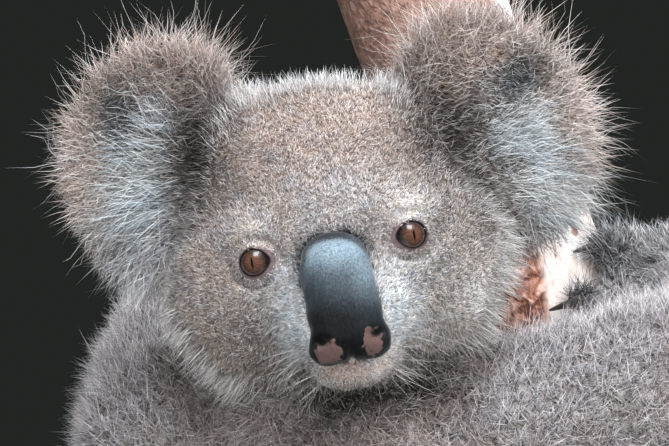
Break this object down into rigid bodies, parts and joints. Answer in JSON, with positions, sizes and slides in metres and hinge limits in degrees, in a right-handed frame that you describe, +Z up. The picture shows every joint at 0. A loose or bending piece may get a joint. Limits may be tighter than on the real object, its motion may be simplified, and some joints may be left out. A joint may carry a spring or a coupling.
{
  "type": "koala model",
  "caption": "Life-size koala model hugging a short length of tree limb and looking back over its shoulder, held by two short rods on a flat base plate.",
  "frame": {"origin": "centre of the base plate's underside", "axes": "+Z up; the koala's face looks along -Y; its right arm is on the +X side; the limb stands behind it, on the +Y side, and leans towards -X at its top"},
  "size_m": [0.458, 0.3641, 0.8035],
  "materials": {
    "coat": "dense woolly grey-brown fur",
    "ear_coat": "long pale fluff",
    "nose_leather": "fine-grained bare skin",
    "eye": "wet, glassy",
    "claw_horn": "dark horn, satin",
    "bark": "smooth reddish bark with pale patches",
    "stand_paint": "dark grey satin paint",
    "stand_steel": "brushed"
  },
  "bodies": {
    "root": {"head": "coat", "neck": "coat", "chest": "coat", "belly_and_rump": "coat", "upper_arm_left": "coat", "forearm_left": "coat", "hand_left": "coat", "thigh_left": "coat", "shank_left": "coat", "foot_left": "coat", "upper_arm_right": "coat", "forearm_right": "coat", "hand_right": "coat", "thigh_right": "coat", "shank_right": "coat", "foot_right": "coat", "ear_left": "ear_coat", "ear_right": "ear_coat", "nose": "nose_leather", "eye_left": "eye", "eye_right": "eye", "claw_hand_left_thumb": "claw_horn", "claw_hand_left_index": "claw_horn", "claw_hand_left_middle": "claw_horn", "claw_hand_left_ring": "claw_horn", "claw_hand_left_little": "claw_horn", "claw_foot_left_second": "claw_horn", "claw_foot_left_third": "claw_horn", "claw_foot_left_fourth": "claw_horn", "claw_foot_left_fifth": "claw_horn", "claw_hand_right_thumb": "claw_horn", "claw_hand_right_index": "claw_horn", "claw_hand_right_middle": "claw_horn", "claw_hand_right_ring": "claw_horn", "claw_hand_right_little": "claw_horn", "claw_foot_right_second": "claw_horn", "claw_foot_right_third": "claw_horn", "claw_foot_right_fourth": "claw_horn", "claw_foot_right_fifth": "claw_horn", "perch_limb": "bark", "stand_base": "stand_paint", "stand_rod_1": "stand_steel", "stand_rod_2": "stand_steel"}
  },
  "joints": []
}
